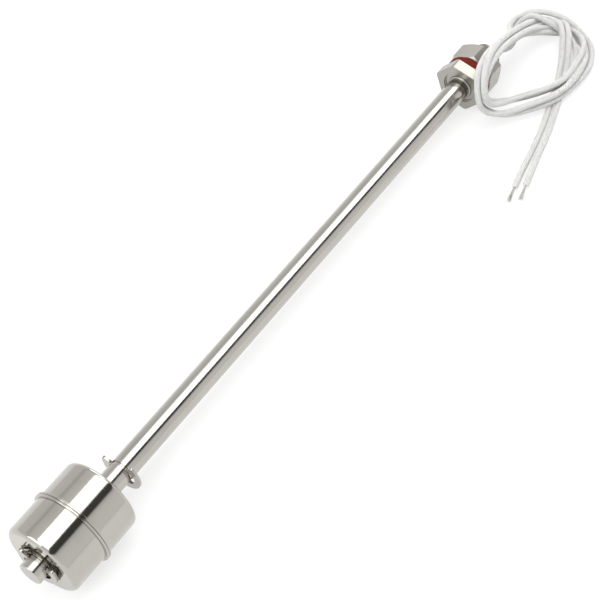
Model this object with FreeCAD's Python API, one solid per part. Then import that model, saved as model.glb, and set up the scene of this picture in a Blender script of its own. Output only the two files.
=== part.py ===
"""Float level switch: a reed switch in a closed stem, and a float that carries a ring magnet.

Millimetres, +Z up. The switch lies as it comes to rest: on the seam of its float, one corner of
its head and one corner of its nut. The stem runs along +X, float to leads. Every rigid piece is
drawn along its own axis, X = 0 at the stem's closed end, and laid() then puts it in its place.
The leads lie free, so their routes are given where they lie.
"""
import FreeCAD, Part
import math
import os

Vec = FreeCAD.Vector
X_AXIS = Vec(1, 0, 0)

# ---- stem -------------------------------------------------------------------------------------
stem_r = 4.0
stem_wall = 0.9
stem_socket_depth = 8.5          # how far the tube goes into the head
stem_end_round = 0.5
end_plug_depth = 2.5

# ---- mounting head: hexagon and M10 thread, turned as one piece -------------------------------
head_at = 230.0                  # stem side of the hexagon, from the closed end
head_flats = 17.0
head_hex_thickness = 4.2
head_edge = 0.25                 # broken corners of the hexagon
head_recess_r = 6.2              # turned recess round the stem, where it is welded
head_recess_depth = 0.9
weld_bead = 0.6
thread_r = 5.0
thread_length = 16.1
thread_end_chamfer = 0.7
thread_relief_r = 4.3
thread_relief_width = 0.8
lead_bore_r = 3.0

# ---- gasket and nut ---------------------------------------------------------------------------
gasket_r = 8.5
gasket_thickness = 2.9
gasket_edge = 0.3
nut_flats = 16.0
nut_thickness = 8.2
nut_face_r = 7.6                 # where the nut's bevel starts on its end faces
nut_bevel_deg = 30.0
nut_running_gap = 0.06           # radial, over the crests of the thread
nut_mouth_depth = 0.6
nut_face_gap = 0.1               # to the gasket

# ---- retaining rings --------------------------------------------------------------------------
ring_groove_r = 3.55
ring_groove_play = 0.05          # each side of the ring, in its groove
ring_r = 7.3
ring_inner_r = 5.1
ring_thickness = 0.9
ring_prong_width = 3.4
ring_mouth_width = 6.0
lower_ring_at = 3.6              # middle of its thickness, from the closed end
upper_ring_at = 41.3
lower_mouth_deg = 27.0           # from straight up, towards -Y
upper_mouth_deg = -25.0

# ---- float ------------------------------------------------------------------------------------
float_r = 13.1
float_length = 28.0              # over the two end faces
float_wall = 0.6
float_end_round = 1.8
seam_r = 14.0
seam_lip = 0.8                   # thickness of each shell's lip, with a fully rounded edge
dish_r = 7.4                     # recess in each end face, round the centre tube
dish_depth = 1.9
centre_tube_r = 5.0
centre_tube_wall = 0.65
centre_tube_proud = 0.6          # past the end faces
centre_tube_lip = 0.35
float_stop_gap = 0.15            # float to retaining ring, at both ends of its travel

# ---- magnet in the float ----------------------------------------------------------------------
magnet_r = 8.5
magnet_length = 9.0
magnet_fit = 0.15                # radial, on the centre tube
spacer_wall = 0.7

# ---- reed switch and wiring in the stem -------------------------------------------------------
reed_at = 30.0                   # middle of the contact gap, from the closed end
reed_glass_r = 1.15
reed_glass_length = 14.0
reed_glass_wall = 0.35
reed_blade_width = 1.3
reed_blade_thickness = 0.2
reed_contact_gap = 0.15
reed_overlap = 1.2
reed_pin_r = 0.3
reed_pin_length = 5.0
reed_offset = 1.0                # the capsule lies off the axis, to leave room for the return wire
return_wire_r = 0.4
return_bend_r = 1.05
joint_r = 0.7
joint_length = 3.5
sleeve_r = 2.85
sleeve_wall = 0.3
sleeve_length = 34.0

# ---- leads ------------------------------------------------------------------------------------
lead_r = 1.13
lead_pitch = 2.5                 # between the two leads, in the stem and in the potting
lead_roll_deg = 55.0             # the pair's plane, from straight up towards -Y
lead_joint_depth = 3.0           # where inner and outer lengths meet, inside the potting
conductor_r = 0.5
conductor_length = 6.5
potting_depth = 6.0
coil_r = 2.4                     # four strands held as one bundle
corner_share = 0.45              # of the shorter run, at each corner of a route

# ---- how it lies ------------------------------------------------------------------------------
head_corner_deg = 16.8           # lowest corner of the head, from straight down towards -Y

# ---- worked out -------------------------------------------------------------------------------
stem_bore_r = stem_r - stem_wall
gasket_at = head_at + head_hex_thickness
nut_at = gasket_at + gasket_thickness + nut_face_gap
nut_end = nut_at + nut_thickness
thread_end = gasket_at + thread_length
nut_travel = thread_end - thread_end_chamfer - nut_end
stem_top = head_at + stem_socket_depth

float_bottom = lower_ring_at + ring_thickness / 2 + float_stop_gap + centre_tube_proud
float_top = float_bottom + float_length
seam_at = (float_bottom + float_top) / 2
tube_bottom = float_bottom - centre_tube_proud
tube_top = float_top + centre_tube_proud
float_travel = upper_ring_at - ring_thickness / 2 - float_stop_gap - tube_top
centre_bore_r = centre_tube_r - centre_tube_wall
magnet_bore_r = centre_tube_r + magnet_fit

head_corner_r = head_flats / math.sqrt(3)
nut_corner_r = nut_flats / math.sqrt(3)
nut_bevel = (nut_corner_r - nut_face_r) * math.tan(math.radians(nut_bevel_deg))

lip_r = seam_lip / 2
head_depth = head_corner_r * math.cos(math.radians(head_corner_deg))
drop = seam_r - lip_r - head_depth
reach = gasket_at - seam_at - lip_r
tilt = math.atan2(drop, reach) + math.asin(lip_r / math.hypot(drop, reach))
axis_height = gasket_at * math.sin(tilt) + head_depth * math.cos(tilt)
nut_depth = head_depth - (nut_end - nut_bevel - gasket_at) * math.tan(tilt)
nut_corner_deg = math.degrees(math.acos(nut_depth / nut_corner_r))
end_rims = (thread_r - thread_end_chamfer) - (stem_r - stem_end_round)
middle = (thread_end * math.cos(tilt) + end_rims * math.sin(tilt)) / 2

# ---- routes of the free leads, as they lie ------------------------------------------------------
lead_1_exit_route = [
    (122.11, 1.02, 8.39), (127.4, 1.02, 8.28), (132.2, -2.0, 9.2), (137.8, -2.0, 9.6),
    (142.2, 1.6, 9.6), (148.3, 2.3, 9.1), (153.0, -1.6, 8.3), (155.9, -6.9, 7.2),
    (159.0, -11.8, 4.8), (160.2, -17.6, 2.6), (157.8, -23.2, 1.5), (152.4, -27.0, 1.2),
    (146.0, -28.8, 1.5), (139.8, -29.2, 2.4)]
lead_2_exit_route = [
    (122.13, -1.02, 9.83), (127.2, -1.02, 9.72), (132.2, -4.6, 9.4), (137.8, -4.5, 9.5),
    (142.5, -1.2, 9.5), (147.4, -0.4, 9.0), (151.0, -4.0, 8.2), (153.4, -9.2, 6.8),
    (156.2, -13.8, 5.0)]
coil_route = [
    (152.6, -24.6, 2.6), (143.0, -28.0, 3.0), (132.8, -29.6, 3.8), (123.0, -28.2, 4.5),
    (114.2, -22.6, 4.7), (107.2, -16.2, 5.2), (102.4, -12.4, 9.8), (101.8, -11.2, 16.4),
    (105.6, -9.5, 22.0), (112.8, -8.0, 22.9), (121.8, -6.6, 19.8), (131.2, -5.7, 15.6),
    (141.2, -5.8, 11.4), (150.2, -8.4, 7.6), (155.6, -13.8, 4.8), (156.4, -19.8, 2.9)]
lead_1_tail_route = [
    (156.2, -12.2, 5.6), (152.8, -15.4, 5.0), (147.8, -18.0, 3.8), (142.0, -20.4, 2.2),
    (135.6, -23.0, 1.2), (127.4, -25.7, 1.2), (118.0, -28.5, 1.2), (107.9, -31.4, 1.2),
    (97.9, -33.4, 1.2), (88.8, -35.0, 1.2), (81.6, -36.7, 1.2)]
lead_2_tail_route = [
    (156.8, -15.4, 4.4), (152.8, -18.0, 3.8), (147.8, -20.6, 2.6), (142.0, -23.2, 1.6),
    (135.0, -25.9, 1.2), (126.8, -29.0, 1.2), (117.8, -31.7, 1.2), (108.1, -34.5, 1.2),
    (99.1, -36.3, 1.2), (90.9, -38.2, 1.2), (84.4, -39.8, 1.2)]


# ---- helpers ----------------------------------------------------------------------------------
def laid(shape):
    """Takes a piece drawn along its own axis to where it lies."""
    out = shape.copy()
    out.rotate(Vec(0, 0, 0), Vec(0, 1, 0), math.degrees(tilt))
    out.translate(Vec(-middle, 0, axis_height))
    return out


def rolled(shape, degrees):
    """Turns a piece about the stem, from straight up towards -Y."""
    out = shape.copy()
    out.rotate(Vec(0, 0, 0), X_AXIS, degrees)
    return out


def rod(x0, x1, r, offset=0.0):
    return Part.makeCylinder(r, x1 - x0, Vec(x0, 0, offset), X_AXIS)


def tube(x0, x1, r_out, r_in):
    return rod(x0, x1, r_out).cut(rod(x0 - 1, x1 + 1, r_in))


def turned(outline):
    """A solid of revolution about the stem's axis. Each item of the outline is the next corner
    (x, r), or the end of an arc and a point on it, (x, r, on_x, on_r)."""
    edges = []
    x, r = outline[-1][:2]
    for item in outline:
        a, b = Vec(x, 0, r), Vec(item[0], 0, item[1])
        if len(item) == 4:
            edges.append(Part.Arc(a, Vec(item[2], 0, item[3]), b).toShape())
        else:
            edges.append(Part.makeLine(a, b))
        x, r = item[:2]
    return Part.Face(Part.Wire(edges)).revolve(Vec(0, 0, 0), X_AXIS, 360)


def rounded(x, r, toward_x, toward_r, size):
    """Arc item that rounds the corner (x, r): it ends on the side towards (toward_x, toward_r)."""
    q = size * (1 - math.sqrt(0.5))
    return (x + toward_x * size, r, x + toward_x * q, r + toward_r * q)


def hexagon(x0, x1, flats):
    """A hexagonal bar with one corner straight down."""
    r = flats / math.sqrt(3)
    corners = []
    for k in range(7):
        a = math.radians(60 * k)
        corners.append(Vec(x0, r * math.sin(a), -r * math.cos(a)))
    return Part.Face(Part.makePolygon(corners)).extrude(Vec(x1 - x0, 0, 0))


def rims(shape, r):
    """The circular edges of radius r."""
    found = []
    for edge in shape.Edges:
        if edge.Curve.TypeId == "Part::GeomCircle" and abs(edge.Curve.Radius - r) < 1e-6:
            found.append(edge)
    return found


def corner_arcs(points, closed):
    """For each corner of a route: where its arc starts and ends, its centre, axis and angle."""
    count = len(points)
    arcs = {}
    for k in range(0 if closed else 1, count if closed else count - 1):
        here = points[k]
        back = points[k - 1] - here
        ahead = points[(k + 1) % count] - here
        turn = math.pi - back.getAngle(ahead)
        set_back = corner_share * min(back.Length, ahead.Length)
        start = here + Vec(back).normalize() * set_back
        end = here + Vec(ahead).normalize() * set_back
        radius = set_back / math.tan(turn / 2)
        axis = ahead.cross(back).normalize()
        inward = axis.cross(back).normalize() * -radius
        arcs[k] = (start, end, start + inward, axis, turn, radius)
    return arcs


def cord(name, route, r, closed=False):
    """A cord of straight runs and tangent arcs, each a cylinder or a piece of a torus."""
    points = [Vec(*p) for p in route]
    arcs = corner_arcs(points, closed)
    count = len(points)
    length = 0.0
    pieces = []
    for k in range(count if closed else count - 1):
        a = arcs[k][1] if k in arcs else points[k]
        after = (k + 1) % count
        b = arcs[after][0] if after in arcs else points[after]
        along = b - a
        pieces.append(Part.makeCylinder(r, along.Length, a, along))
        length += along.Length
        if after in arcs:
            start, end, centre, axis, turn, radius = arcs[after]
            disc = Part.Face(Part.Wire(Part.makeCircle(r, start, along)))
            pieces.append(disc.revolve(centre, axis, math.degrees(turn)))
            length += radius * turn
    solid = pieces[0].fuse(pieces[1:])
    radii = sorted(item[5] for item in arcs.values())
    print("%s: length %.1f, arc radii %.1f to %.1f, volume %.1f, section x length %.1f"
          % (name, length, radii[0], radii[-1], solid.Volume, math.pi * r * r * length))
    return solid


def save(name, shape):
    shape.exportStep("parts/%s.step" % name)


def save_laid(name, shape):
    save(name, laid(shape))


# ---- stem -------------------------------------------------------------------------------------
def stem_tube():
    outline = [(0, stem_bore_r), (0, stem_r - stem_end_round),
               (stem_end_round, stem_r, 0.29 * stem_end_round, stem_r - 0.29 * stem_end_round)]
    half = ring_thickness / 2 + ring_groove_play
    for at in (lower_ring_at, upper_ring_at):
        outline += [(at - half, stem_r), (at - half, ring_groove_r),
                    (at + half, ring_groove_r), (at + half, stem_r)]
    outline += [(stem_top, stem_r), (stem_top, stem_bore_r)]
    return turned(outline)


def stem_end_plug():
    return rod(0, end_plug_depth, stem_bore_r)


# ---- mounting head ----------------------------------------------------------------------------
def mounting_head():
    flange = rolled(hexagon(head_at, gasket_at, head_flats), -head_corner_deg)
    across = head_corner_r - head_edge
    over = head_corner_r + head_edge
    flange = flange.common(turned([(head_at, 0), (head_at, across), (head_at + 2 * head_edge, over),
                                   (gasket_at, over), (gasket_at, 0)]))
    relief_end = gasket_at + thread_relief_width
    spigot = turned([
        (gasket_at - 1, 0), (gasket_at - 1, thread_relief_r), (relief_end, thread_relief_r),
        (relief_end + thread_r - thread_relief_r, thread_r), (nut_end, thread_r),
        (thread_end - thread_end_chamfer, thread_r),
        (thread_end, thread_r - thread_end_chamfer), (thread_end, 0)])
    floor = head_at + head_recess_depth
    hollow = turned([
        (head_at - 1, 0), (head_at - 1, head_recess_r), (floor, head_recess_r),
        (floor, stem_r + weld_bead), (floor - weld_bead, stem_r), (stem_top, stem_r),
        (stem_top, lead_bore_r), (thread_end + 1, lead_bore_r), (thread_end + 1, 0)])
    return flange.fuse(spigot).cut(hollow)


def sealing_gasket():
    ring = tube(gasket_at, gasket_at + gasket_thickness, gasket_r, thread_r)
    return ring.makeFillet(gasket_edge, rims(ring, gasket_r))


def mounting_nut():
    body = rolled(hexagon(nut_at, nut_end, nut_flats), nut_corner_deg)
    over = nut_corner_r
    envelope = turned([(nut_at, 0), (nut_at, nut_face_r), (nut_at + nut_bevel, over),
                       (nut_end - nut_bevel, over), (nut_end, nut_face_r), (nut_end, 0)])
    bore_r = thread_r + nut_running_gap
    mouth_r = bore_r + nut_mouth_depth
    bore = turned([(nut_at - 1, 0), (nut_at - 1, mouth_r), (nut_at, mouth_r),
                   (nut_at + nut_mouth_depth, bore_r), (nut_end - nut_mouth_depth, bore_r),
                   (nut_end, mouth_r), (nut_end + 1, mouth_r), (nut_end + 1, 0)])
    return body.common(envelope).cut(bore)


# ---- retaining rings --------------------------------------------------------------------------
def retaining_ring(at, mouth_deg):
    """An E-shaped ring: three prongs reach the groove, and the mouth lets it be pushed on."""
    x0 = at - ring_thickness / 2
    x1 = at + ring_thickness / 2
    ring = tube(x0, x1, ring_r, ring_inner_r)
    reach = ring_inner_r + 0.5
    back = Part.makeBox(ring_thickness, ring_prong_width, reach,
                        Vec(x0, -ring_prong_width / 2, -reach))
    sides = Part.makeBox(ring_thickness, 2 * reach, ring_prong_width * 0.7,
                         Vec(x0, -reach, -ring_prong_width * 0.1))
    mouth = Part.makeBox(ring_thickness + 2, ring_mouth_width, ring_r + 1,
                         Vec(x0 - 1, -ring_mouth_width / 2, 0))
    ring = ring.fuse([back, sides]).cut(rod(x0 - 1, x1 + 1, ring_groove_r)).cut(mouth)
    return rolled(ring, mouth_deg)


# ---- float ------------------------------------------------------------------------------------
def float_shell():
    """The lower of the two drawn cups, from its lip at the seam to its dished end face."""
    e = float_bottom
    w = float_wall
    size = float_end_round
    inner = size - w
    dish = e + dish_depth
    lip_back = seam_at - seam_lip
    return turned([
        (dish, centre_tube_r), (dish, dish_r - w), (e, dish_r), (e, float_r - size),
        (e + size, float_r, e + 0.29 * size, float_r - 0.29 * size), (lip_back, float_r),
        (lip_back, seam_r - lip_r), (seam_at, seam_r - lip_r, seam_at - lip_r, seam_r),
        (seam_at, float_r - w), (e + size, float_r - w),
        (e + w, float_r - size, e + w + 0.29 * inner, float_r - w - 0.29 * inner),
        (e + w, dish_r + w), (dish + w, dish_r), (dish + w, centre_tube_r)])


def upper_half(shape):
    """The same piece for the upper half of the float."""
    return shape.mirror(Vec(seam_at, 0, 0), X_AXIS)


def float_centre_tube():
    lip = centre_tube_lip
    a = tube_bottom
    b = tube_top
    return turned([(a, centre_bore_r), (a, centre_tube_r + lip), (a + lip, centre_tube_r + lip),
                   (a + 2 * lip, centre_tube_r), (b - 2 * lip, centre_tube_r),
                   (b - lip, centre_tube_r + lip), (b, centre_tube_r + lip), (b, centre_bore_r)])


def float_magnet():
    half = magnet_length / 2
    return tube(seam_at - half, seam_at + half, magnet_r, magnet_bore_r)


def magnet_spacer():
    floor = float_bottom + dish_depth + float_wall
    return tube(floor, seam_at - magnet_length / 2, magnet_bore_r + spacer_wall, magnet_bore_r)


# ---- reed switch and wiring: drawn with the capsule above the axis, then rolled ---------------
def in_stem(shape):
    return rolled(shape, lead_roll_deg)


def reed_glass():
    a = reed_at - reed_glass_length / 2
    b = reed_at + reed_glass_length / 2
    r = reed_glass_r
    seal = 2 * r
    inner = r - reed_glass_wall
    capsule = turned([
        (a, reed_pin_r), (a, 0.55 * r), (a + 0.7 * r, r, a + 0.2 * r, 0.87 * r), (b - 0.7 * r, r),
        (b, 0.55 * r, b - 0.2 * r, 0.87 * r), (b, reed_pin_r), (b - seal, reed_pin_r),
        (b - seal - inner, inner), (a + seal + inner, inner), (a + seal, reed_pin_r)])
    return in_stem(capsule.translated(Vec(0, 0, reed_offset)))


def reed_blade(side):
    """A nickel-iron wire, flattened where it makes contact. side is -1 lower, 1 upper."""
    flat_from = reed_at - side * reed_overlap / 2
    flat_to = reed_at + side * (reed_glass_length / 2 - 2.9 * reed_glass_r)
    pin_to = reed_at + side * (reed_glass_length / 2 + reed_pin_length)
    under = reed_offset + side * reed_contact_gap / 2 - (1 - side) / 2 * reed_blade_thickness
    corner = Vec(min(flat_from, flat_to), -reed_blade_width / 2, under)
    blade = Part.makeBox(abs(flat_to - flat_from), reed_blade_width, reed_blade_thickness, corner)
    neck = flat_to - side * 0.4
    pin = rod(min(neck, pin_to), max(neck, pin_to), reed_pin_r, reed_offset)
    return in_stem(blade.fuse(pin))


def joint_at():
    return reed_at + reed_glass_length / 2 + reed_pin_length - joint_length / 2


def return_wire():
    """From the lower pin's end, round and back past the capsule to the second lead."""
    start = reed_at - reed_glass_length / 2 - reed_pin_length
    bend = Part.Face(Part.Wire(Part.makeCircle(return_wire_r, Vec(start, 0, reed_offset), X_AXIS)))
    bend = bend.revolve(Vec(start, 0, reed_offset - return_bend_r), Vec(0, -1, 0), 180)
    back = rod(start, joint_at() + joint_length / 2, return_wire_r, reed_offset - 2 * return_bend_r)
    return in_stem(bend.fuse(back))


def solder_joint(side):
    """A blob of solder over pin or wire, butted against its lead."""
    a = joint_at()
    offset = side * lead_pitch / 2
    wire_r = reed_pin_r if side > 0 else return_wire_r
    wire_offset = reed_offset if side > 0 else reed_offset - 2 * return_bend_r
    blob = rod(a, a + joint_length, joint_r, offset)
    return in_stem(blob.cut(rod(a - 1, a + joint_length / 2, wire_r, wire_offset)))


def lead_inner(side):
    return in_stem(rod(joint_at() + joint_length, thread_end - lead_joint_depth, lead_r,
                       side * lead_pitch / 2))


def insulating_sleeve():
    a = reed_at - sleeve_length / 2
    return tube(a, a + sleeve_length, sleeve_r, sleeve_r - sleeve_wall)


def potting_plug():
    plug = rod(thread_end - potting_depth, thread_end, lead_bore_r)
    for side in (-1, 1):
        plug = plug.cut(in_stem(rod(thread_end - potting_depth - 1, thread_end + 1, lead_r,
                                    side * lead_pitch / 2)))
    return plug


# ---- free leads -------------------------------------------------------------------------------
def conductor(route):
    """The bare strands past the end of a tail, along its last run."""
    end = Vec(*route[-1])
    along = end - Vec(*route[-2])
    return Part.makeCylinder(conductor_r, conductor_length, end, along)


os.makedirs("parts", exist_ok=True)
save_laid("stem_tube", stem_tube())
save_laid("stem_end_plug", stem_end_plug())
save_laid("mounting_head", mounting_head())
save_laid("sealing_gasket", sealing_gasket())
save_laid("mounting_nut", mounting_nut())
save_laid("potting_plug", potting_plug())
save_laid("lower_retaining_ring", retaining_ring(lower_ring_at, lower_mouth_deg))
save_laid("upper_retaining_ring", retaining_ring(upper_ring_at, upper_mouth_deg))
save_laid("float_lower_shell", float_shell())
save_laid("float_upper_shell", upper_half(float_shell()))
save_laid("float_centre_tube", float_centre_tube())
save_laid("float_magnet", float_magnet())
save_laid("magnet_spacer_lower", magnet_spacer())
save_laid("magnet_spacer_upper", upper_half(magnet_spacer()))
save_laid("reed_glass", reed_glass())
save_laid("reed_blade_lower", reed_blade(-1))
save_laid("reed_blade_upper", reed_blade(1))
save_laid("return_wire", return_wire())
save_laid("solder_joint_1", solder_joint(-1))
save_laid("solder_joint_2", solder_joint(1))
save_laid("insulating_sleeve", insulating_sleeve())
save_laid("lead_1_inner", lead_inner(-1))
save_laid("lead_2_inner", lead_inner(1))
save("lead_1_exit", cord("lead_1_exit", lead_1_exit_route, lead_r))
save("lead_2_exit", cord("lead_2_exit", lead_2_exit_route, lead_r))
save("leads_coil", cord("leads_coil", coil_route, coil_r, closed=True))
save("lead_1_tail", cord("lead_1_tail", lead_1_tail_route, lead_r))
save("lead_2_tail", cord("lead_2_tail", lead_2_tail_route, lead_r))
save("lead_1_conductor", conductor(lead_1_tail_route))
save("lead_2_conductor", conductor(lead_2_tail_route))

print("tilt %.3f deg, nut corner %.2f deg, float travel %.2f, nut travel %.2f"
      % (math.degrees(tilt), nut_corner_deg, float_travel, nut_travel))
print("axis height %.3f, middle %.3f, seam %.2f, nut end %.2f, thread end %.2f"
      % (axis_height, middle, seam_at, nut_end, thread_end))
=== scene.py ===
import math
import random

import bpy
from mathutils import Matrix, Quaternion, Vector


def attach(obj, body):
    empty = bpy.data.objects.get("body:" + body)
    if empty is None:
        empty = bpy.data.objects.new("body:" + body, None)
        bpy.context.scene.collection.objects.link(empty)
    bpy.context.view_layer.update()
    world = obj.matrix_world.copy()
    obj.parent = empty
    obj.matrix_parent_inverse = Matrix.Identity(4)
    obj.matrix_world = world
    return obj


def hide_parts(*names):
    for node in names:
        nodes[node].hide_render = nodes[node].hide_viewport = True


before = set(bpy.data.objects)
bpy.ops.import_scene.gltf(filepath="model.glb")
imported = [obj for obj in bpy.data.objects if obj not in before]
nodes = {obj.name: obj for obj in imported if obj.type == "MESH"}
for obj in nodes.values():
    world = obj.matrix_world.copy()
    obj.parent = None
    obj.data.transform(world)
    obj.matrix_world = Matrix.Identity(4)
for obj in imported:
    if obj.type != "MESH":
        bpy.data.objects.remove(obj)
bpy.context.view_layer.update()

# A float level switch laid on a table. Lengths are millimetres where they're written, angles
# are degrees, and the scene itself is in metres: a length goes through MM on its way in.
MM = 0.001

# ---- camera -----------------------------------------------------------------------------------
camera = bpy.data.objects.new("camera", bpy.data.cameras.new("camera"))
bpy.context.scene.collection.objects.link(camera)
camera.location = (-0.220026, -0.199572, 0.402775)
view = Vector((0.446062, 0.394516, -0.803359))
camera_roll = -7.404
camera.rotation_mode = "QUATERNION"
camera.rotation_quaternion = (view.to_track_quat("-Z", "Y")
                              @ Quaternion((0, 0, 1), math.radians(camera_roll)))
camera.data.sensor_width = 36
camera.data.lens = 91.044
camera.data.clip_start = 0.01
bpy.context.scene.camera = camera

# ---- sizes ------------------------------------------------------------------------------------
tilt = math.radians(1.2267534753900198)   # the stem's axis leans to the leads
middle, axis_height = 125.130, 14.408     # where the stem's closed end is: x is -middle
along = Vector((math.cos(tilt), 0, -math.sin(tilt)))
over = Vector((math.sin(tilt), 0, math.cos(tilt)))
side = Vector((0, 1, 0))
lead_r = 1.13
yarn_pitch, yarns, yarn_relief = 0.00100, 8, 0.00014      # metres, count, metres


def on_axis(s, across=0.0, height=0.0):
    """A point by its distance from the stem's closed end, given in mm and returned in m."""
    p = Vector((-middle, 0, axis_height)) + along * s + side * across + over * height
    return p * MM


# ---- node helpers -----------------------------------------------------------------------------
class Nodes:
    """A material's or the world's node tree, built by hand."""

    def __init__(self, owner):
        owner.use_nodes = True
        self.tree = owner.node_tree
        self.tree.nodes.clear()

    def add(self, kind, links=None, **values):
        node = self.tree.nodes.new(kind)
        for name, value in values.items():
            setattr(node, name, value)
        for socket, value in (links or {}).items():
            target = node.inputs[socket]
            if isinstance(value, bpy.types.NodeSocket):
                self.tree.links.new(value, target)
            else:
                target.default_value = value
        return node

    def math(self, operation, a, b=0.0, clamp=False):
        return self.add("ShaderNodeMath", {0: a, 1: b}, operation=operation,
                        use_clamp=clamp).outputs[0]

    def noise(self, vector, scale, detail=3.0, rough=0.55):
        return self.add("ShaderNodeTexNoise", {"Vector": vector, "Scale": scale,
                        "Detail": detail, "Roughness": rough}).outputs["Fac"]

    def vector(self, x, y, z):
        return self.add("ShaderNodeCombineXYZ", {"X": x, "Y": y, "Z": z}).outputs[0]

    def spread(self, value, low, high, out_low, out_high):
        return self.add("ShaderNodeMapRange", {"Value": value, "From Min": low,
                        "From Max": high, "To Min": out_low, "To Max": out_high}).outputs[0]

    def colours(self, value, stops):
        node = self.add("ShaderNodeValToRGB", {"Fac": value})
        ramp = node.color_ramp.elements
        ramp[0].position, ramp[0].color = stops[0][0], (*stops[0][1], 1)
        ramp[1].position, ramp[1].color = stops[-1][0], (*stops[-1][1], 1)
        for place, colour in stops[1:-1]:
            ramp.new(place).color = (*colour, 1)
        return node.outputs["Color"]

    def bump(self, height, distance):
        return self.add("ShaderNodeBump", {"Height": height, "Distance": distance,
                                           "Strength": 1.0}).outputs["Normal"]

    def finish(self, shader):
        self.add("ShaderNodeOutputMaterial", {"Surface": shader})


def wear(n):
    """Object-space coordinates, turned so that x runs along the stem."""
    place = n.add("ShaderNodeTexCoord").outputs["Object"]
    return n.add("ShaderNodeMapping",
                 {"Vector": place, "Rotation": (0, -tilt, 0)}).outputs["Vector"]


turned_per_m, drawn_per_m = 9000.0, 7000.0             # how fine the tool marks are
across_per_m, along_per_m = 25.0, 18.0                 # and how long


def metal(name, colour, rough, turned=0.0, drawn=0.0, stain=0.06, grain=0.0):
    """Bare metal: turned lines go round the stem's axis, drawn ones run along it."""
    material = bpy.data.materials.new(name)
    n = Nodes(material)
    place = wear(n)
    parts = n.add("ShaderNodeSeparateXYZ", {"Vector": place})

    def lines(along_x, across_x, detail, rough):
        return n.noise(n.vector(n.math("MULTIPLY", parts.outputs["X"], along_x),
                                n.math("MULTIPLY", parts.outputs["Y"], across_x),
                                n.math("MULTIPLY", parts.outputs["Z"], across_x)),
                       1.0, detail, rough)

    round_lines = lines(turned_per_m, across_per_m, 4.0, 0.65)
    long_lines = lines(along_per_m, drawn_per_m, 3.0, 0.6)
    cloud = n.noise(place, 60.0, 5.0, 0.6)
    specks = n.noise(place, 2600.0, 2.0, 0.7)
    tone = n.colours(cloud, [
        (0.30, tuple(c * (1 - stain) for c in colour)),
        (0.52, colour),
        (0.75, tuple(min(1, c * (1 + 0.5 * stain)) for c in colour))])
    fine = n.math("ADD", n.math("MULTIPLY", round_lines, turned),
                  n.math("MULTIPLY", long_lines, drawn))
    shade = n.math("ADD", n.spread(cloud, 0.3, 0.7, rough * 0.85, rough * 1.2),
                   n.math("MULTIPLY", n.math("SUBTRACT", fine, 0.5 * (turned + drawn)), 0.10),
                   clamp=True)
    height = n.math("ADD", fine, n.math("MULTIPLY", specks, grain))
    normal = n.bump(height, 0.000012)
    shader = n.add("ShaderNodeBsdfPrincipled", {
        "Base Color": tone, "Metallic": 1.0, "Roughness": shade, "Normal": normal})
    n.finish(shader.outputs[0])
    return material


def solid(name, dark, light, rough, scale, relief=0.00001, **more):
    """Moulded, cast or sintered stuff with a mottled colour and a fine grain."""
    material = bpy.data.materials.new(name)
    n = Nodes(material)
    place = wear(n)
    cloud = n.noise(place, scale, 4.0, 0.6)
    fine = n.noise(place, scale * 9, 3.0, 0.65)
    tone = n.colours(cloud, [(0.35, dark), (0.65, light)])
    normal = n.bump(n.math("ADD", n.math("MULTIPLY", cloud, 0.5), fine), relief)
    shader = n.add("ShaderNodeBsdfPrincipled", {
        "Base Color": tone,
        "Roughness": n.spread(fine, 0.3, 0.7, rough * 0.88, min(1.0, rough * 1.12)),
        "Normal": normal, **{k.replace("_", " "): v for k, v in more.items()}})
    n.finish(shader.outputs[0])
    return material


steel_turned = metal("steel_turned", (0.41, 0.396, 0.362), 0.15, turned=0.9, drawn=0.1,
                     grain=0.15)
steel_shell = metal("steel_shell", (0.46, 0.445, 0.405), 0.075, turned=0.25, drawn=0.2,
                    grain=0.35, stain=0.08)
steel_stem = metal("steel_stem", (0.47, 0.455, 0.42), 0.13, turned=0.15, drawn=0.8)
steel_head = metal("steel_head", (0.385, 0.373, 0.342), 0.26, turned=0.9, drawn=0.1,
                   grain=0.3, stain=0.08)
steel_nut = metal("steel_nut", (0.45, 0.436, 0.40), 0.32, turned=0.3, drawn=0.25, grain=0.5,
                  stain=0.10)
steel_spring = metal("steel_spring", (0.44, 0.425, 0.39), 0.18, turned=0.1, drawn=0.2,
                     grain=0.6, stain=0.12)
nickel_iron = metal("nickel_iron", (0.55, 0.52, 0.47), 0.28, drawn=0.6, stain=0.15)
tinned = metal("tinned_copper", (0.62, 0.61, 0.58), 0.30, drawn=0.5, grain=0.3, stain=0.2)
solder = metal("solder", (0.50, 0.50, 0.50), 0.38, grain=0.8, stain=0.2)
silicone = solid("silicone_red", (0.125, 0.008, 0.002), (0.160, 0.012, 0.004), 0.70,
                 scale=420.0, relief=0.00002, Specular_IOR_Level=0.15)
ferrite = solid("ferrite", (0.020, 0.020, 0.021), (0.045, 0.044, 0.043), 0.62, scale=900.0,
                relief=0.00003)
nylon = solid("nylon_natural", (0.60, 0.57, 0.48), (0.70, 0.67, 0.59), 0.45, scale=200.0,
              Subsurface_Weight=0.2, Subsurface_Scale=0.001)
potting = solid("potting_resin", (0.018, 0.016, 0.014), (0.035, 0.032, 0.029), 0.35,
                scale=700.0, relief=0.00005)
glass = solid("glass_clear", (0.80, 0.86, 0.84), (0.90, 0.94, 0.92), 0.04, scale=80.0,
              relief=0.000002, Transmission_Weight=0.92, IOR=1.50)
sleeve_clear = solid("sleeve_clear", (0.78, 0.76, 0.70), (0.86, 0.84, 0.80), 0.28,
                     scale=250.0, Transmission_Weight=0.6, IOR=1.45)


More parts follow.
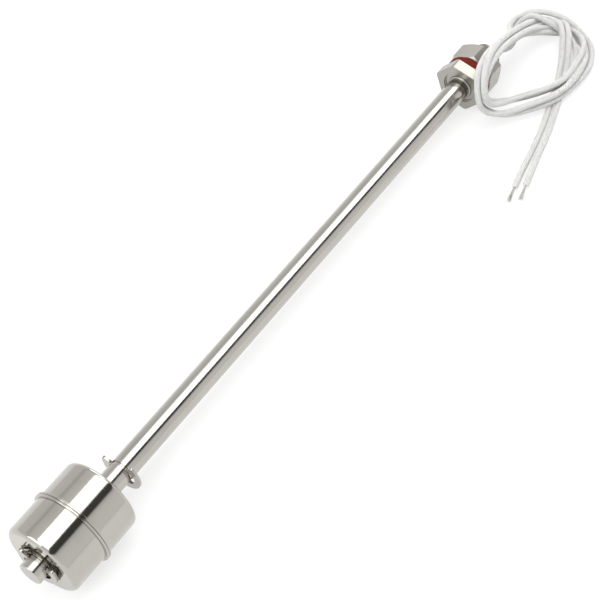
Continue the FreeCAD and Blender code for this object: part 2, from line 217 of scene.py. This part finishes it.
def braid():
    """Braided glass-fibre sleeving: yarns that cross over and under, with a few loose fibres, and
    painted shade in the gaps between the yarns.
    """
    material = bpy.data.materials.new("glass_braid_white")
    n = Nodes(material)
    uv = n.add("ShaderNodeUVMap", uv_map="lay").outputs["UV"]
    parts = n.add("ShaderNodeSeparateXYZ", {"Vector": uv})
    u, v = parts.outputs["X"], parts.outputs["Y"]      # u in yarn widths along, v in turns
    wobble = n.math("MULTIPLY", n.noise(n.add("ShaderNodeTexCoord").outputs["Object"],
                                        420.0, 2.0), 0.35)
    turn = n.math("MULTIPLY", v, yarns * math.pi)
    run = n.math("ADD", n.math("MULTIPLY", u, math.pi), wobble)
    lay_a, lay_b = n.math("ADD", run, turn), n.math("SUBTRACT", run, turn)
    one = n.math("SINE", lay_a)
    two = n.math("SINE", lay_b)
    over_under = n.math("MULTIPLY", one, two)
    yarn_a = n.math("ABSOLUTE", one)
    yarn_b = n.math("ABSOLUTE", two)
    pick = n.math("GREATER_THAN", over_under, 0.0)
    yarn = n.math("ADD", n.math("MULTIPLY", yarn_a, pick),
                  n.math("MULTIPLY", yarn_b, n.math("SUBTRACT", 1.0, pick)))
    fibre = n.noise(n.vector(n.math("MULTIPLY", lay_a, 5.0), n.math("MULTIPLY", lay_b, 0.8),
                             0.0), 1.6, 3.0, 0.7)
    height = n.math("ADD", yarn, n.math("MULTIPLY", fibre, 0.7))
    patch = n.noise(n.add("ShaderNodeTexCoord").outputs["Object"], 1300.0, 2.0, 0.6)
    # painted shade: the colour darkens into the gaps between the yarns and lightens on their
    # crowns, and random patches make it a little lighter or darker
    gap_shade_and_patches = n.math("ADD", yarn, n.spread(patch, 0.3, 0.7, -0.45, 0.12))
    tone = n.colours(gap_shade_and_patches, [(0.0, (0.36, 0.357, 0.335)), (0.40, (0.62, 0.618, 0.595)),
                           (0.75, (0.87, 0.87, 0.856)), (1.0, (0.90, 0.90, 0.892))])
    normal = n.bump(height, 0.00010)
    shader = n.add("ShaderNodeBsdfPrincipled", {
        "Base Color": tone, "Roughness": n.spread(fibre, 0.3, 0.7, 0.50, 0.72),
        "Normal": normal, "Sheen Weight": 0.25, "Sheen Roughness": 0.4,
        "Specular IOR Level": 0.4})
    n.finish(shader.outputs[0])
    return material


glass_braid = braid()
inner_braid = solid("glass_braid_inner", (0.62, 0.61, 0.57), (0.84, 0.84, 0.82), 0.6,
                    scale=900.0, relief=0.00004)

# ---- carried-over CAD nodes -------------------------------------------------------------------
finishes = {
    "stem_tube": steel_stem, "stem_end_plug": steel_turned, "sealing_gasket": silicone,
    "mounting_nut": steel_nut, "potting_plug": potting,
    "lower_retaining_ring": steel_spring, "upper_retaining_ring": steel_spring,
    "float_lower_shell": steel_shell, "float_upper_shell": steel_shell,
    "float_centre_tube": steel_turned, "float_magnet": ferrite,
    "magnet_spacer_lower": nylon, "magnet_spacer_upper": nylon, "reed_glass": glass,
    "reed_blade_lower": nickel_iron, "reed_blade_upper": nickel_iron,
    "return_wire": tinned, "solder_joint_1": solder, "solder_joint_2": solder,
    "insulating_sleeve": sleeve_clear, "lead_1_inner": inner_braid,
    "lead_2_inner": inner_braid, "leads_coil": glass_braid, "lead_1_exit": glass_braid,
    "lead_2_exit": glass_braid, "lead_1_tail": glass_braid, "lead_2_tail": glass_braid,
    "lead_1_conductor": tinned, "lead_2_conductor": tinned, "mounting_head": steel_head,
}


def dress(piece, material):
    if piece.material_slots:
        for slot in piece.material_slots:
            slot.material = material
    else:
        piece.data.materials.append(material)


for name, material in finishes.items():
    dress(nodes[name], material)


# ---- pieces -----------------------------------------------------------------------------------
def piece_of(name, points, faces, material, uvs=None):
    """A smooth-shaded mesh that rides the stem; uvs, if any, are one for each face corner."""
    mesh = bpy.data.meshes.new(name)
    mesh.from_pydata([tuple(p) for p in points], [], faces)
    mesh.update()
    mesh.polygons.foreach_set("use_smooth", [True] * len(mesh.polygons))
    if uvs:
        layer = mesh.uv_layers.new(name="lay")
        for k, uv in enumerate(uvs):
            layer.data[k].uv = uv
    made = bpy.data.objects.new(name, mesh)
    bpy.context.scene.collection.objects.link(made)
    mesh.materials.append(material)
    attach(made, "stem")
    return made


def spline_points(name, route):
    """The line of a NURBS spline with these control points, in metres."""
    curve = bpy.data.curves.new(name, "CURVE")
    curve.dimensions = "3D"
    spline = curve.splines.new("NURBS")
    spline.points.add(len(route) - 1)
    for point, (x, y, z) in zip(spline.points, route):
        point.co = (x * MM, y * MM, z * MM, 1)
    spline.order_u = 3
    spline.use_endpoint_u = True
    spline.resolution_u = 16
    holder = bpy.data.objects.new(name, curve)
    mesh = bpy.data.meshes.new_from_object(holder)
    points = [v.co.copy() for v in mesh.vertices]
    bpy.data.meshes.remove(mesh)
    bpy.data.objects.remove(holder)
    bpy.data.curves.remove(curve)
    return points


def evenly(points, step):
    """Points a step apart along a line."""
    runs = [0.0]
    for a, b in zip(points, points[1:]):
        runs.append(runs[-1] + (b - a).length)
    count = max(2, round(runs[-1] / step))
    found, k = [], 0
    for i in range(count + 1):
        want = runs[-1] * i / count
        while k < len(points) - 2 and runs[k + 1] < want:
            k += 1
        share = (want - runs[k]) / max(1e-12, runs[k + 1] - runs[k])
        found.append(points[k].lerp(points[k + 1], min(1.0, max(0.0, share))))
    return found, runs[-1]


def frames_along(points):
    """A tangent and two directions across it at each point, without twist."""
    found = []
    across = None
    for k, p in enumerate(points):
        tangent = (points[min(k + 1, len(points) - 1)] - points[max(k - 1, 0)]).normalized()
        if across is None:
            across = tangent.orthogonal().normalized()
        across = (across - tangent * across.dot(tangent)).normalized()
        found.append((tangent, across, tangent.cross(across)))
    return found


sleeve_step, sleeve_sides, sleeve_end = 0.000153, 36, 0.0004      # metres, count, metres


def sleeving(name, route, seed):
    """A braided sleeve on a soft core, a little uneven, with rounded ends."""
    line, length = evenly(spline_points(name + "_line", route), sleeve_step)
    rng = random.Random(seed)
    waves = [(rng.uniform(250, 900), rng.uniform(0, 6.28), rng.uniform(0, 6.28),
              rng.choice((1, 2, 3))) for _ in range(5)]
    sides = sleeve_sides
    points, faces, uvs = [], [], []
    frames = frames_along(line)
    last = len(line) - 1
    for k, (p, (tangent, a, b)) in enumerate(zip(line, frames)):
        s = length * k / last
        for j in range(sides):
            turn = 2 * math.pi * j / sides
            swell = 1 + 0.012 * sum(math.sin(w * s + f + m * turn + g)
                                    for w, f, g, m in waves)
            run, round_it = math.pi * s / yarn_pitch, math.pi * yarns * j / sides
            weave = max(abs(math.sin(run + round_it)), abs(math.sin(run - round_it)))
            r = lead_r * MM * min(1.02, swell) - yarn_relief * (1 - weave ** 2)
            end = min(s, length - s)
            if end < sleeve_end:
                r *= 0.86 + 0.14 * math.sqrt(max(0.0, end / sleeve_end))
            points.append(p + (a * math.cos(turn) + b * math.sin(turn)) * r)
    for k in range(last):
        for j in range(sides):
            i = (j + 1) % sides
            faces.append((k * sides + j, k * sides + i, (k + 1) * sides + i,
                          (k + 1) * sides + j))
            s0, s1 = (length * q / last / yarn_pitch for q in (k, k + 1))
            t0, t1 = j / sides, (j + 1) / sides
            uvs += [(s0, t0), (s0, t1), (s1, t1), (s1, t0)]
    for first, turnwise in ((0, -1), (last * sides, 1)):
        ring = [first + j for j in range(sides)]
        faces.append(tuple(ring[::turnwise]))
        uvs += [(0.1, 0.1)] * sides
    return piece_of(name, points, faces, glass_braid, uvs), line, length


# ---- the two leads ----------------------------------------------------------------------------
# The middle of the coil's four strands, station by station round it.
coil_route = [
    (152.6, -24.6, 2.6), (143.0, -28.0, 3.0), (132.8, -29.6, 3.8), (123.0, -28.2, 4.5),
    (114.2, -22.6, 4.7), (107.2, -16.2, 5.2), (102.4, -12.4, 9.8), (101.8, -11.2, 16.4),
    (105.6, -9.5, 22.0), (112.8, -8.0, 22.9), (121.8, -6.6, 19.8), (131.2, -5.7, 15.6),
    (141.2, -5.8, 11.4), (150.2, -8.4, 7.6), (155.6, -13.8, 4.8), (156.4, -19.8, 2.9)]
coil_middle = Vector((130.0, -17.5, 8.0))
strand_pitch = 1.66
split = {2: 1.1, 3: 2.0, 4: 2.7, 5: 2.1, 6: 0.6}      # how far the turns part below
lean = {2: 0.9, 3: 1.0, 4: 0.9, 5: 0.5}               # and lean on each other


def turn(angle, inner):
    """The stations of one turn of a lead over the nut, at its place among the four strands.

    The place is an angle round the middle of the bundle, which rolls over as it climbs.
    """
    found = []
    for k in range(2, 13):
        here = Vector(coil_route[k])
        tangent = (Vector(coil_route[(k + 1) % 16]) - Vector(coil_route[k - 1])).normalized()
        out = here - coil_middle
        out = (out - tangent * out.dot(tangent)).normalized()
        up = tangent.cross(out)
        a = math.radians(angle - 90 * min(1.0, max(0.0, (k - 4) / 5)))
        away = strand_pitch * math.cos(a)
        if inner:
            away -= split.get(k, 0)
        elif k < 7:
            away += 0.5
        if angle > 0:
            away += lean.get(k, 0) * (0.5 if inner else -1.0)
        if 5 <= k <= 8:                                # clear of the head and the nut
            away += 0.7
        lift = strand_pitch * math.sin(a)
        if k == 3:
            lift += 0.5
        found.append(tuple(here + out * away + up * lift))
    return found


lead_1_route = [
    (122.11, 1.02, 8.39), (127.4, 1.02, 8.28), (132.2, -2.0, 9.3), (137.4, -1.8, 9.9),
    (141.6, 1.3, 9.4), (147.0, 1.5, 8.7), (152.3, -1.4, 8.7), (155.9, -6.8, 8.1),
    (158.2, -12.6, 6.0), (158.8, -18.3, 2.7), (156.4, -24.4, 1.2), (151.4, -28.4, 1.2),
    (144.6, -30.9, 1.6), (138.6, -31.4, 2.6),
    *turn(-45, False),
    (149.2, -9.8, 4.8), (153.8, -12.8, 2.1), (156.2, -17.4, 1.3), (154.0, -22.8, 1.4),
    (149.4, -26.8, 2.6), (141.6, -29.8, 4.6),
    *turn(45, False),
    (148.8, -6.2, 5.4), (152.6, -6.4, 4.9), (154.4, -9.4, 6.0), (153.6, -13.2, 8.0),
    (149.0, -17.1, 6.8), (143.0, -20.2, 4.4), (138.4, -22.4, 2.1), (133.6, -24.2, 1.25),
    (127.4, -26.2, 1.25), (118.0, -29.0, 1.25), (107.9, -31.8, 1.25), (97.9, -33.8, 1.25),
    (88.8, -35.4, 1.25), (81.6, -37.0, 1.25)]
lead_2_route = [
    (122.13, -1.02, 9.83), (127.2, -1.02, 9.6), (131.6, -4.6, 8.6), (137.4, -3.6, 7.6),
    (142.2, -0.2, 7.3), (147.6, 0.4, 7.4), (151.6, -2.8, 8.4), (152.4, -8.4, 7.0),
    (152.8, -13.8, 5.4), (151.4, -20.0, 4.0), (147.4, -24.0, 2.6), (140.4, -26.6, 2.8),
    *turn(-135, True),
    (149.0, -8.2, 6.2), (154.2, -10.8, 3.6), (156.8, -16.4, 3.4), (154.8, -22.0, 3.8),
    (149.2, -26.0, 4.6), (141.4, -27.4, 5.6),
    *turn(135, True),
    (150.6, -3.6, 6.0), (154.8, -5.2, 4.9), (156.4, -10.0, 4.1), (155.6, -14.6, 6.7),
    (151.4, -18.2, 6.9), (145.0, -21.8, 4.8), (139.6, -24.3, 2.2), (135.0, -25.9, 1.2),
    (126.8, -29.0, 1.2), (117.8, -31.7, 1.2), (108.1, -34.5, 1.2), (99.1, -36.3, 1.2),
    (90.9, -38.2, 1.2), (84.4, -39.8, 1.2)]


strand_steps, strand_sides = 14, 6
strand_reach, strand_r, strand_gap, strand_root = 6.4 * MM, 0.085 * MM, 0.17 * MM, 0.8 * MM
strand_lowest = 0.13 * MM


def strands(name, line, seed):
    """The stripped end: fine tinned strands that leave the sleeve together and splay a little."""
    end, before = line[-1], line[-12]
    tangent = (end - before).normalized()
    across = tangent.orthogonal().normalized()
    other = tangent.cross(across)
    rng = random.Random(seed)
    steps, sides = strand_steps, strand_sides
    points, faces = [], []
    for j in range(19):                                # one, six round it, twelve round those
        ring = 0 if j == 0 else (1 if j < 7 else 2)
        place = strand_gap * ring
        start = 2 * math.pi * (j / (6 if ring == 1 else 12)) + rng.uniform(-0.1, 0.1)
        long = strand_reach * rng.uniform(0.93, 1.0)
        splay = rng.uniform(0.2, 1.5) if ring else 0.1
        sway = rng.uniform(-0.5, 0.5)
        path = []
        for k in range(steps + 1):
            t = k / steps
            twist = start + 1.9 * t * (1 - 0.5 * t)
            r = place * (1 + splay * t * t) + (0.05 * MM * ring * t * t)
            drop = Vector((0, 0, -0.45 * MM)) * t * t
            p = (end - tangent * strand_root + tangent * (long + strand_root) * t
                 + across * (math.cos(twist) * r + sway * 0.1 * MM * t * t)
                 + other * math.sin(twist) * r + drop)
            p.z = max(p.z, strand_lowest)              # they come to lie on the table
            path.append(p)
        first = len(points)
        for p, (_, a, b) in zip(path, frames_along(path)):
            for i in range(sides):
                q = 2 * math.pi * i / sides
                points.append(p + (a * math.cos(q) + b * math.sin(q)) * strand_r)
        for k in range(steps):
            for i in range(sides):
                e = (i + 1) % sides
                faces.append((first + k * sides + i, first + k * sides + e,
                              first + (k + 1) * sides + e, first + (k + 1) * sides + i))
        faces.append(tuple(first + i for i in reversed(range(sides))))
        faces.append(tuple(first + steps * sides + i for i in range(sides)))
    made = piece_of(name, points, faces, tinned)
    return made


for number, route, seed in ((1, lead_1_route, 11), (2, lead_2_route, 29)):
    lead, line, length = sleeving("lead_%d" % number, route, seed)
    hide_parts("lead_%d_exit" % number, "lead_%d_tail" % number, "leads_coil")
    wires = strands("lead_%d_strands" % number, line, seed + 1)
    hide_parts("lead_%d_conductor" % number)
    print("lead", number, "length", round(length * 1000, 1), "mm")


# ---- mounting head with its cut thread --------------------------------------------------------
head_at, hex_end, thread_end = 230.0, 234.2, 250.3
stem_top = head_at + 8.5
head_flats, head_corner = 17.0, math.radians(-16.8)
head_recess_r, head_recess_depth, head_edge = 6.2, 0.9, 0.12
thread_r, thread_pitch, thread_depth, thread_row = 5.0, 1.0, 0.58, 0.11
relief_r, lead_bore_r, stem_r = 4.3, 3.0, 4.0
weld_bead, weld_rows = 0.62, 6


def round_axis(s, r, angle):
    """A point by its distance along the axis, from it, and round it from straight down."""
    return on_axis(s, r * math.sin(angle), -r * math.cos(angle))


def hex_radius(angle):
    """Distance to the hexagon's side, its corners just broken."""
    a = (angle - head_corner) % (math.pi / 3)
    return min(head_flats / 2 / math.cos(a - math.pi / 6), head_flats / math.sqrt(3) - 0.2)


def thread_radius(s, angle):
    """The helix of the thread, which runs out into the relief and the end's chamfer."""
    phase = ((s - angle * thread_pitch / (2 * math.pi)) / thread_pitch) % 1.0
    flank = min(1.0, max(0.0, abs(2 * phase - 1) * 1.35 - 0.12))
    return thread_r - thread_depth * flank


def head_rows():
    """The head's section: (distance along the axis, radius by angle), once round the metal."""
    rows = [(head_at + 0.08, lambda a: head_recess_r),
            (head_at, lambda a: head_recess_r + head_edge),
            (head_at, lambda a: min(hex_radius(a) - 0.16, 9.42)),
            (head_at + 0.16, lambda a: min(hex_radius(a), 9.60)),
            (head_at + 0.5, hex_radius), (hex_end - head_edge, hex_radius),
            (hex_end, lambda a: hex_radius(a) - head_edge), (hex_end, lambda a: relief_r)]
    first, last = hex_end + 0.7, thread_end
    rows.append((first, lambda a: relief_r))
    count = round((last - first) / thread_row)
    for k in range(1, count + 1):
        s = first + (last - first) * k / count
        most = min(thread_r, relief_r + (s - first), relief_r + (last - s) + 0.02)
        rows.append((s, lambda a, s=s, most=most: min(most, thread_radius(s, a))))
    rows += [(last, lambda a: lead_bore_r + 0.15), (last - 0.15, lambda a: lead_bore_r),
             (stem_top, lambda a: lead_bore_r), (stem_top, lambda a: stem_r)]
    for k in range(weld_rows + 1):                     # the weld bead round the stem
        t = math.pi / 2 * k / weld_rows
        rows.append((head_at + head_recess_depth - weld_bead * math.cos(t),
                     lambda a, t=t: stem_r + weld_bead * math.sin(t)
                     + 0.03 * math.sin(40 * a) * math.sin(2 * t)))
    rows.append((head_at + head_recess_depth, lambda a: head_recess_r - 0.15))
    rows.append((head_at + head_recess_depth - 0.15, lambda a: head_recess_r))
    return rows


def lathe(name, rows, turns, start, material, sharp):
    """A closed ring of sections: each row is a place along the axis and a radius by angle."""
    points, faces = [], []
    for s, radius in rows:
        for j in range(turns):
            a = start + 2 * math.pi * j / turns
            points.append(round_axis(s, radius(a), a))
    for k in range(len(rows)):
        e = (k + 1) % len(rows)
        for j in range(turns):
            i = (j + 1) % turns
            faces.append((k * turns + j, k * turns + i, e * turns + i, e * turns + j))
    made = piece_of(name, points, faces, material)
    made.data.set_sharp_from_angle(angle=math.radians(sharp))
    return made


head = lathe("head_and_thread", head_rows(), 240, head_corner, steel_head, 28)
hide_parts("mounting_head")

# ---- retaining rings: open clips with two ears and a prong opposite their mouth ----------------
clip_r, clip_inner_r, clip_thick, clip_edge = 7.3, 5.15, 0.9, 0.09
groove_r = 3.56
prong_half, ear_prong, prong_flank, ear_round = 17.0, 24.0, 12, 9      # degrees
clip_steps = 150


def clip_section(past_ear, to_back):
    """Inner and outer radius, from the angle past the ear's end and the angle to the back."""
    inner = clip_inner_r
    for away, width in ((past_ear, ear_prong), (to_back, prong_half)):
        if away < width:
            inner = groove_r
        elif away < width + prong_flank:
            t = (away - width) / prong_flank
            inner = min(inner, groove_r + (clip_inner_r - groove_r) * (1 - (1 - t) ** 2) ** 0.5)
    outer = clip_r
    if past_ear < ear_round:
        t = 1 - past_ear / ear_round
        drop = 1 - math.sqrt(max(0.0, 1 - t * t))
        outer -= 1.15 * drop
        inner += 0.85 * drop
    return inner, outer


def clip(name, at, mouth, half_open):
    """A retaining ring whose mouth is this far from straight up, towards -Y, and this open."""
    steps = clip_steps
    span = 360 - 2 * half_open
    half, edge = clip_thick / 2, clip_edge
    points, faces = [], []
    for k in range(steps + 1):
        t = k / steps
        t = t - 0.035 * math.sin(4 * math.pi * t)      # closer sections at the ears and the back
        turn = span * t
        inner, outer = clip_section(min(turn, span - turn), abs(turn - span / 2))
        a = math.radians(180 - (mouth + half_open + turn))
        for s, r in ((-half, inner + edge), (-half, outer - edge), (-half + edge, outer),
                     (half - edge, outer), (half, outer - edge), (half, inner + edge),
                     (half - edge, inner), (-half + edge, inner)):
            points.append(round_axis(at + s, r, -a))
    for k in range(steps):
        for j in range(8):
            i = (j + 1) % 8
            faces.append((k * 8 + j, (k + 1) * 8 + j, (k + 1) * 8 + i, k * 8 + i))
    faces.append(tuple(range(8)))
    faces.append(tuple(steps * 8 + j for j in reversed(range(8))))
    made = piece_of(name, points, faces, steel_spring)
    made.data.set_sharp_from_angle(angle=math.radians(30))
    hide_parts(name.replace("clip", "retaining_ring"))
    return made


clip("lower_clip", 3.6, 4.0, 57.0)
clip("upper_clip", 41.3, -15.0, 53.0)

# ---- floor, world and lamps -------------------------------------------------------------------
floor_half = 6.0                                       # metres
floor_mesh = bpy.data.meshes.new("floor")
floor_mesh.from_pydata([(-floor_half, -floor_half, 0), (floor_half, -floor_half, 0),
                        (floor_half, floor_half, 0), (-floor_half, floor_half, 0)],
                       [], [(0, 1, 2, 3)])
floor = bpy.data.objects.new("floor", floor_mesh)
bpy.context.scene.collection.objects.link(floor)
paper = bpy.data.materials.new("floor_paper")          # white to the eye, grey to the object
n = Nodes(paper)
plain = n.add("ShaderNodeBsdfDiffuse", {"Color": (0.80, 0.80, 0.80, 1)})
dim = n.add("ShaderNodeBsdfDiffuse", {"Color": (0.33, 0.33, 0.33, 1)})
lift = n.add("ShaderNodeEmission", {"Color": (1, 1, 1, 1), "Strength": 0.68})
seen = n.add("ShaderNodeLightPath")
show = n.math("MAXIMUM", seen.outputs["Is Camera Ray"],
              n.math("MAXIMUM", seen.outputs["Is Glossy Ray"],
                     seen.outputs["Is Transmission Ray"]))
both = n.add("ShaderNodeAddShader", {0: dim.outputs[0], 1: lift.outputs[0]})
n.finish(n.add("ShaderNodeMixShader", {0: show, 1: plain.outputs[0],
                                       2: both.outputs[0]}).outputs[0])
floor_mesh.materials.append(paper)

world = bpy.data.worlds.new("studio")
bpy.context.scene.world = world
n = Nodes(world)
way = n.add("ShaderNodeSeparateXYZ",
            {"Vector": n.add("ShaderNodeTexCoord").outputs["Generated"]})
# The studio's walls go round the stem: 0 degrees is straight up, 90 is -Y.
angle = n.math("ARCTAN2", n.math("MULTIPLY", way.outputs["Y"], -1.0), way.outputs["Z"])
turned_by = n.spread(angle, -math.pi, math.pi, 0.0, 1.0)


def stop(degrees, level):
    return ((degrees + 180) / 360, (level, level, level))


studio = n.colours(turned_by, [
    stop(-179, 0.92), stop(-95, 0.92), stop(-80, 0.90), stop(-60, 0.88), stop(-51, 0.66),
    stop(-43, 0.84), stop(-19, 0.98), stop(-12, 1.0), stop(20, 1.0), stop(21.5, 0.08),
    stop(39, 0.07), stop(43, 0.74), stop(52, 0.93), stop(80, 1.0), stop(110, 0.94),
    stop(179, 0.92)])
seen = n.add("ShaderNodeLightPath")
show = n.math("MAXIMUM", seen.outputs["Is Camera Ray"], seen.outputs["Is Transmission Ray"])
mixed = n.add("ShaderNodeMix", {"Factor": show, "A": studio, "B": (1, 1, 1, 1)},
              data_type="RGBA")
background = n.add("ShaderNodeBackground", {"Color": mixed.outputs["Result"],
                                            "Strength": 1.0})
n.add("ShaderNodeOutputWorld", {"Surface": background.outputs[0]})


def lamp(name, place, towards, size, watts):
    light = bpy.data.lights.new(name, "AREA")
    light.shape = "RECTANGLE"
    light.size, light.size_y = size
    light.energy = watts
    made = bpy.data.objects.new(name, light)
    bpy.context.scene.collection.objects.link(made)
    made.location = place
    made.rotation_mode = "QUATERNION"
    made.rotation_quaternion = (Vector(towards) - Vector(place)).to_track_quat("-Z", "Y")
    return made


lamp("strip_softbox", (0.15, -0.02, 0.90), (0.15, 0.0, 0.0), (2.4, 0.60), 9.0)
lamp("low_end_card", (-0.85, 0.36, 0.42), (-0.10, 0.0, 0.0), (0.5, 0.5), 2.0)
lamp("high_end_card", (0.95, 0.38, 0.26), (0.10, 0.0, 0.0), (0.6, 0.35), 1.6)

# ---- finish -----------------------------------------------------------------------------------
bpy.context.scene.view_settings.view_transform = "Standard"
